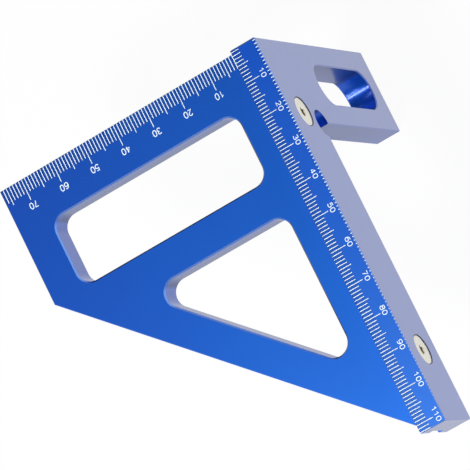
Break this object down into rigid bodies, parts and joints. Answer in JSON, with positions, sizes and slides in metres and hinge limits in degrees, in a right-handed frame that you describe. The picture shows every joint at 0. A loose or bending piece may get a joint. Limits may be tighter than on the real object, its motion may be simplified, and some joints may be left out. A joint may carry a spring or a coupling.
{
  "type": "angle ruler",
  "caption": "Blue aluminium marking square: a windowed plate with straight and mitre edges, seated in a graduated fence with a slotted leg at right angles.",
  "frame": {"origin": "zero corner of both scales: the top face of the plate, at its zero edge and at the inner face of the fence", "axes": "+X away from the fence along the short scale, +Y along the fence and its long scale, +Z out of the top face of the plate; the leg hangs down along -Z"},
  "size_m": [0.0847, 0.1123, 0.08],
  "materials": {
    "anodised_plate": "blue anodised, fine satin",
    "anodised_fence": "blue anodised, fine satin",
    "screw_steel": "bright plated"
  },
  "bodies": {
    "root": {"ruler_plate": "anodised_plate", "fence_with_leg": "anodised_fence", "fence_screws": "screw_steel"}
  },
  "joints": []
}
